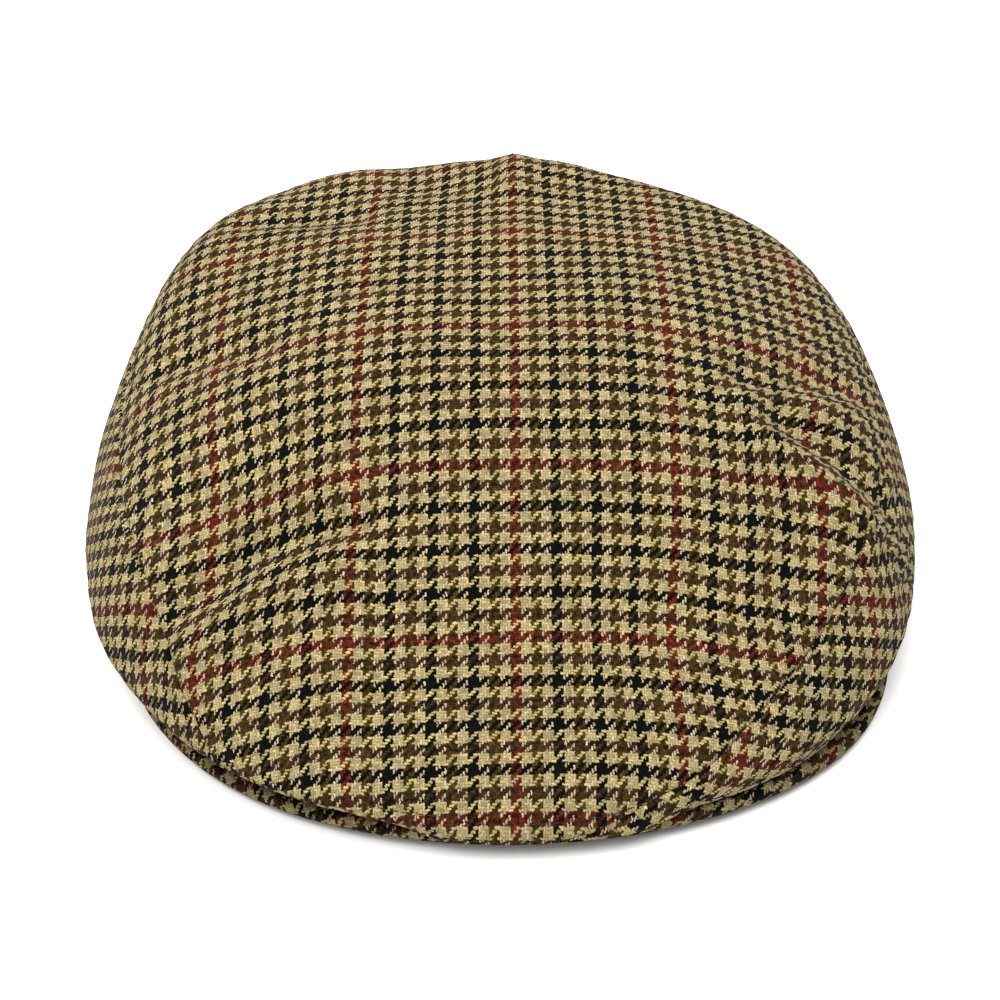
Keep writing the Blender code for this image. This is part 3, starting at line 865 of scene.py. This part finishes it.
def topWeave(points, shares, arc):
    at, uArc, vArc = measureGrain()
    a, b = grainOf(points[..., 0], points[..., 1])
    rows = np.array(grain["weftRows"])
    u = readGrid(at, uArc, a, b) / grain["warpRepeat"]
    v = np.interp(readGrid(at, vArc, a, b), rows[:, 0], rows[:, 1])
    for _, x, y, reach, across, along in grain["pulls"]:
        near = np.exp(-((points[..., 0] - x)**2 + (points[..., 1] - y)**2) / reach**2)
        u, v = u + across * near, v + along * near
    for n in range(len(points)):
        held = np.searchsorted(shares[n], grain["heldShare"])
        if held >= shares.shape[1]:
            continue
        ahead = points[n, held, :2] - points[n, held - grain["heldRows"], :2]
        da, db = grainOf(ahead[0] + grain["centre"][0], ahead[1] + grain["centre"][1])
        length = math.hypot(da, db)
        gone = arc[n, held:] - arc[n, held]
        u[n, held:] = u[n, held] + gone * da / length / grain["warpRepeat"]
        v[n, held:] = v[n, held] + gone * db / length / grain["weftRepeat"]
    return np.stack([u, v], axis=-1)


sidePanel = {
    "columnStep": 0.6,
    "rows": 34,
    "dense": 160,
    "nearMost": 0.4,            # the rows next to the seam take up no more of its height
    "turnRows": 6,
    "hemRadius": 0.00195,
    "hemLap": 0.0119,
    "hemRows": 7,
    "taperLength": 0.005,
    "taperLeast": 0.12,
    "seamPart": 3,              # its grain is counted along the row at one third
    "grainTurn": 44.0,          # going down the wall, the grain comes forward this much
    "columnRepeat": 0.0492,
    "rowRepeat": 0.0427,
    "countFrom": {1: 54.0, -1: -58.0},
    "redColumnAt": {1: -0.0048, -1: 0.0013},
    "redRowAt": {1: 0.0080, -1: 0.0039},
    "backGap": 0.00015,
    "rollsTo": 26.0,            # degrees from the front
    "rollFade": 14.0,
}


def sideSheet(name, side, material):
    rows = seamRight if side > 0 else seamLeft
    gapTurn = math.degrees(sidePanel["backGap"] / crownForm["back"])
    count = int((180 - rows[0][0]) / sidePanel["columnStep"]) + 1
    degrees = side * np.linspace(rows[0][0], 180 - gapTurn, count)[::side]
    directions = np.radians(degrees)
    near = np.array(cloth["nearSeam"])
    main, turned = sidePanel["rows"], sidePanel["turnRows"]
    outerColumns, innerColumns, arcs, fades = [], [], [], []
    for turn, degree in zip(directions, degrees):
        arc, dense = arcsDown(turn, seamShare(degree), sidePanel["dense"])
        length = arc[-1]
        fade = float(np.clip(length / sidePanel["taperLength"], sidePanel["taperLeast"], 1.0))
        firm = sidePanel["hemRadius"] * fade
        offsets = near * min(1.0, sidePanel["nearMost"] * length / near[-1])
        run = np.linspace(offsets[-1], length - firm, main - len(near) + 1)[1:]
        wanted = np.concatenate([offsets, np.maximum(run, offsets[-1])])
        shares = np.interp(wanted, arc, dense)
        outer = crownPoint(turn, shares)
        normal = crownNormal(turn, shares)
        # the hem turns in at the edge, and its lap lies inside
        low = outer[-1]
        out = unit(np.array([normal[-1][0], normal[-1][1], 0.0]))
        bend = np.linspace(0, math.pi, turned + 2)[1:-1, None]
        spoke = out * np.cos(bend) + np.array([0, 0, -1.0]) * np.sin(bend)
        bottom = low - out * firm + spoke * firm
        up = np.linspace(0, sidePanel["hemLap"] * fade, sidePanel["hemRows"])
        lapShares = np.interp(length - firm - up, arc, dense)
        lapNormal = crownNormal(turn, lapShares)
        lapNormal[0] = out
        lapPoints = crownPoint(turn, lapShares) - lapNormal * 2 * firm
        lapPoints[0] = low - out * 2 * firm
        outerColumns.append(np.concatenate([outer, bottom, lapPoints]))
        faceOut = np.concatenate([normal, spoke, -lapNormal])
        innerColumns.append(-faceOut * cloth["thick"] * fade)
        rounded = math.pi * firm * np.arange(1, turned + 1) / (turned + 1)
        arcs.append(np.concatenate([wanted, length - firm + rounded, length - firm + math.pi * firm + up]))
        fades.append(fade)
    outer, toInner, arc = np.array(outerColumns), np.array(innerColumns), np.array(arcs)
    fades = np.array(fades)[:, None]
    lapStart = main + turned
    normal = unit(-toInner)
    alongSeam = arcLengths(outer[:, 0][None])[0][:, None]
    toHem = arc[:, main - 1:main] - arc[:, :main]
    relief = np.zeros(arc.shape)
    relief[:, :main] = seamRelief(arc[:, :main], alongSeam) * fades
    relief[:, :main] += unevenness(outer[:, :main]) * np.clip(toHem / cloth["calmRun"], 0, 1)
    weave = sideWeave(degrees, outer, arc, side)
    firms = sidePanel["hemRadius"] * fades
    toEdge = np.maximum(arc[:, main - 1:main] + firms - arc, 0.0)
    toEdge[:, lapStart:] = firms + arc[:, lapStart:] - arc[:, lapStart:lapStart + 1]
    outer = outer + normal * relief[..., None]
    # towards the front its hem rolls in like the top's edge
    roll = cloth["edgeDepth"] * np.clip(1 - toEdge / cloth["edgeWidth"], 0, 1)**2
    roll = roll * ramp((sidePanel["rollsTo"] - np.abs(degrees)) / sidePanel["rollFade"])[:, None]
    outer = hangOver(outer - roll[..., None] * outwards(directions)[:, None], directions, toEdge)
    piece = clothPiece(name, outer, outer + toInner, weave, material)
    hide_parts("side_panel_right" if side > 0 else "side_panel_left")
    return piece


def sideWeave(degrees, outer, arc, side):
    middle = outer[:, sidePanel["rows"] // sidePanel["seamPart"]]
    along = arcLengths(middle[None])[0]
    along = along - np.interp(sidePanel["countFrom"][side], degrees, along)
    ahead = -side * along[:, None]
    turn = math.radians(sidePanel["grainTurn"])
    column = ahead * math.cos(turn) - arc * math.sin(turn) - sidePanel["redColumnAt"][side]
    row = ahead * math.sin(turn) + arc * math.cos(turn) - sidePanel["redRowAt"][side]
    return np.stack([column / sidePanel["columnRepeat"], side * row / sidePanel["rowRepeat"]], axis=-1)


stitchRuns = {
    "front": {"length": 0.0026, "every": 0.0034, "thick": 0.00034},
    "edge": {"length": 0.0033, "every": 0.0040, "thick": 0.00036},
    "lap": {"length": 0.0021, "every": 0.0041, "thick": 0.00032},
    "dart": {"length": 0.0014, "every": 0.0018, "thick": 0.00036},
    "edgeRows": (
        # name, first direction, last direction, height up the cloth from the crown's edge
        ("left_edge_stitches", -62, -12, 0.0020),
        ("right_edge_stitches", 9, 64, 0.0020),
    ),
    "lapRow": (
        # direction, share of the stitches beside the right seam
        (15.8, 0.830),
        (18.4, 0.907),
        (20.8, 0.851),
        (22.7, 0.790),
        (25.1, 0.716),
        (27.3, 0.680),
        (30.7, 0.654),
        (36.0, 0.622),
        (42.0, 0.600),
    ),
    "dartRow": ((175.2, 0.435), (174.0, 0.560)),
    "points": 60,               # along a row
    "edgePoints": 120,
    "edgeFrom": 0.85,
    "lift": 0.0001,
    "paleThread": linear(146, 141, 126),
    "darkThread": linear(40, 32, 25),
    "roughness": 0.8,
    "specular": 0.2,
}


def threadMaterial(name, colour):
    material = bpy.data.materials.new(name)
    material.use_nodes = True
    shader = material.node_tree.nodes["Principled BSDF"]
    shader.inputs["Base Color"].default_value = (*colour, 1.0)
    shader.inputs["Roughness"].default_value = stitchRuns["roughness"]
    shader.inputs["Specular IOR Level"].default_value = stitchRuns["specular"]
    return material


# Short rounded stitches along a line on the cloth
def stitchPiece(name, run, line, normals, material):
    line = line + stitchRuns["lift"] * normals
    arc = arcLengths(line[None])[0]
    form = bmesh.new()
    half = run["length"] / 2

    def read(values, at):
        return Vector([np.interp(at, arc, values[:, k]) for k in range(3)])

    for middle in np.arange(run["every"] / 2, arc[-1] - half, run["every"]):
        ends = [read(line, at) for at in (middle - half, middle + half)]
        up = read(normals, middle)
        ahead = (ends[1] - ends[0]).normalized()
        side = up.cross(ahead).normalized()
        turned = Matrix((side, ahead.cross(side), ahead)).transposed().to_4x4()
        sized = Matrix.Diagonal((run["thick"], run["thick"], run["length"], 1.0))
        place = Matrix.Translation((ends[0] + ends[1]) / 2 + Vector(shift)) @ turned @ sized
        bmesh.ops.create_uvsphere(form, u_segments=6, v_segments=5, radius=0.5, matrix=place)
    return finishPiece(name, form, material)


# Points and normals along a row of directions and shares
def onCrown(rows):
    rows = np.array(rows, float)
    along = np.linspace(rows[0, 0], rows[-1, 0], stitchRuns["points"])
    rows = rows[np.argsort(rows[:, 0])]
    turn, share = np.radians(along), np.interp(along, rows[:, 0], rows[:, 1])
    points, normals = crownPoint(turn, share), crownNormal(turn, share)
    return points + normals * unevenness(points)[:, None], normals


def edgeStitches(pale):
    for name, first, last, up in stitchRuns["edgeRows"]:
        turns = np.radians(np.linspace(first, last, stitchRuns["edgePoints"]))
        shares = []
        for turn in turns:
            arc, dense = arcsDown(turn, stitchRuns["edgeFrom"], crownForm["arcSteps"])
            shares.append(np.interp(arc[-1] - up, arc, dense))
        line, normals = crownPoint(turns, shares), crownNormal(turns, shares)
        stitchPiece(name, stitchRuns["edge"], line, normals, pale)


def seamStitches(pale, dark):
    stitchPiece("right_lap_stitches", stitchRuns["lap"], *onCrown(stitchRuns["lapRow"]), pale)
    stitchPiece("dart_stitches", stitchRuns["dart"], *onCrown(stitchRuns["dartRow"]), dark)


peakPiece = {
    "columns": 181,
    "topRows": 14,
    "edgeRows": 9,
    "edgePart": 0.4,
    "redAside": 0.15,           # repeats, where its red threads stand beside the crown's
    "cornerOut": 0.0014,        # its edge stands out more at both corners
    "cornerAt": 36.0,
    "cornerSpread": 15.0,
}


def peakSheet(material):
    reach = peakForm["spread"] - peakForm["tipGap"]
    degrees = np.linspace(-reach, reach, peakPiece["columns"])
    profiles, weaves = [], []
    for degree in degrees:
        angle = math.radians(degree)
        near = float(hemFar(angle)) - peakForm["lap"]
        corner = math.exp(-((abs(degree) - peakPiece["cornerAt"]) / peakPiece["cornerSpread"])**2)
        far, thick = float(peakFar(angle)) + peakPiece["cornerOut"] * corner, float(peakThick(angle))
        half = thick / 2
        bend = min(half, peakPiece["edgePart"] * (far - near))
        flat = np.linspace(near, far - bend, peakPiece["topRows"])
        up = np.linspace(math.pi / 2, -math.pi / 2, peakPiece["edgeRows"])[1:-1]
        distance = np.concatenate([flat, far - bend + bend * np.cos(up), flat[::-1], flat[:1]])
        high = np.concatenate([np.full(len(flat), thick), half + half * np.sin(up),
                               np.zeros(len(flat)), [thick]])
        x, y = plan(angle, distance)
        z = peakUnderside(x, y) + high
        points = np.stack([x + aside(y), y, z], axis=-1)
        gone = arcLengths(points[None])[0]
        # below, the grain runs straight too, as on a second piece sewn on at the edge
        gone = np.minimum(gone, 2 * gone[len(flat) + len(up)] - gone)
        a, b = grainOf(points[0, 0], points[0, 1])
        u = (a + gone * math.sin(angle)) / grain["warpRepeat"] + peakPiece["redAside"]
        v = (b - gone * math.cos(angle)) / grain["weftRepeat"]
        profiles.append(points)
        weaves.append(np.stack([u, v], axis=-1))
    form = wovenGrid(np.array(profiles), np.array(weaves))
    bmesh.ops.remove_doubles(form, verts=form.verts, dist=sameSpot)
    bmesh.ops.holes_fill(form, edges=[e for e in form.edges if e.is_boundary], sides=0)
    bmesh.ops.recalc_face_normals(form, faces=form.faces)
    piece = finishPiece("peak_cloth", form, material)
    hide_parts("peak")
    return piece


studio = {
    "floorSize": 6.0,
    "floorColour": (0.90, 0.90, 0.90),
    "floorRoughness": 0.9,
    "sky": 0.60,
    "lamps": (
        # name, power, size, x, y, z
        ("overhead", 105.0, 2.6, -0.20, -0.15, 2.20),
        ("left", 8.0, 1.4, -0.80, -0.40, 1.15),
    ),
}


def makeStudio():
    scene = bpy.context.scene
    world = bpy.data.worlds.new("studio")
    world.use_nodes = True
    world.node_tree.nodes["Background"].inputs[0].default_value = (1.0, 1.0, 1.0, 1.0)
    world.node_tree.nodes["Background"].inputs[1].default_value = studio["sky"]
    scene.world = world
    scene.view_settings.view_transform = "Standard"
    form = bmesh.new()
    bmesh.ops.create_grid(form, x_segments=1, y_segments=1, size=studio["floorSize"] / 2)
    mesh = bpy.data.meshes.new("floor")
    form.to_mesh(mesh)
    form.free()
    floor = bpy.data.objects.new("floor", mesh)
    scene.collection.objects.link(floor)
    paint = bpy.data.materials.new("pale floor")
    paint.use_nodes = True
    shader = paint.node_tree.nodes["Principled BSDF"]
    shader.inputs["Base Color"].default_value = (*studio["floorColour"], 1.0)
    shader.inputs["Roughness"].default_value = studio["floorRoughness"]
    shader.inputs["Specular IOR Level"].default_value = 0.0
    mesh.materials.append(paint)
    for name, power, size, x, y, z in studio["lamps"]:
        light = bpy.data.lights.new(name, "AREA")
        light.energy = power
        light.size = size
        lamp = bpy.data.objects.new(name, light)
        lamp.location = (x, y, z)
        lamp.rotation_euler = (-Vector(lamp.location)).to_track_quat("-Z", "Y").to_euler()
        scene.collection.objects.link(lamp)


photoView = {
    "elevation": 37.0,
    "turn": 3.5,
    "distance": 0.635,
    "lens": 72.9,
    "sensor": 36.0,
    "clip": (0.01, 20.0),
    "target": (-0.00095, -0.00942, 0.0275),
}


def makeCamera():
    high, turn = math.radians(photoView["elevation"]), math.radians(photoView["turn"])
    back = Vector((-math.sin(turn) * math.cos(high), -math.cos(turn) * math.cos(high), math.sin(high)))
    data = bpy.data.cameras.new("photo view")
    data.lens = photoView["lens"]
    data.sensor_width = photoView["sensor"]
    data.clip_start, data.clip_end = photoView["clip"]
    camera = bpy.data.objects.new("photo view", data)
    camera.location = Vector(photoView["target"]) + back * photoView["distance"]
    camera.rotation_euler = (-back).to_track_quat("-Z", "Y").to_euler()
    bpy.context.scene.collection.objects.link(camera)
    bpy.context.scene.camera = camera


makeCamera()
makeStudio()
print("camera and light done")
tweedCloth = tweedMaterial("checked tweed", tweed["depth"])
# the peak gets the same cloth, darker, as painted shade
peakSheet(tweedMaterial("checked tweed of the peak in painted shade", tweed["peakDepthAndShade"]))
sideSheet("right_side_cloth", 1, tweedCloth)
sideSheet("left_side_cloth", -1, tweedCloth)
paleThread = threadMaterial("pale thread", stitchRuns["paleThread"])
darkThread = threadMaterial("dark thread", stitchRuns["darkThread"])
topSheet(tweedCloth, darkThread)
print("cloth done")
edgeStitches(paleThread)
seamStitches(paleThread, darkThread)
print("stitches done")
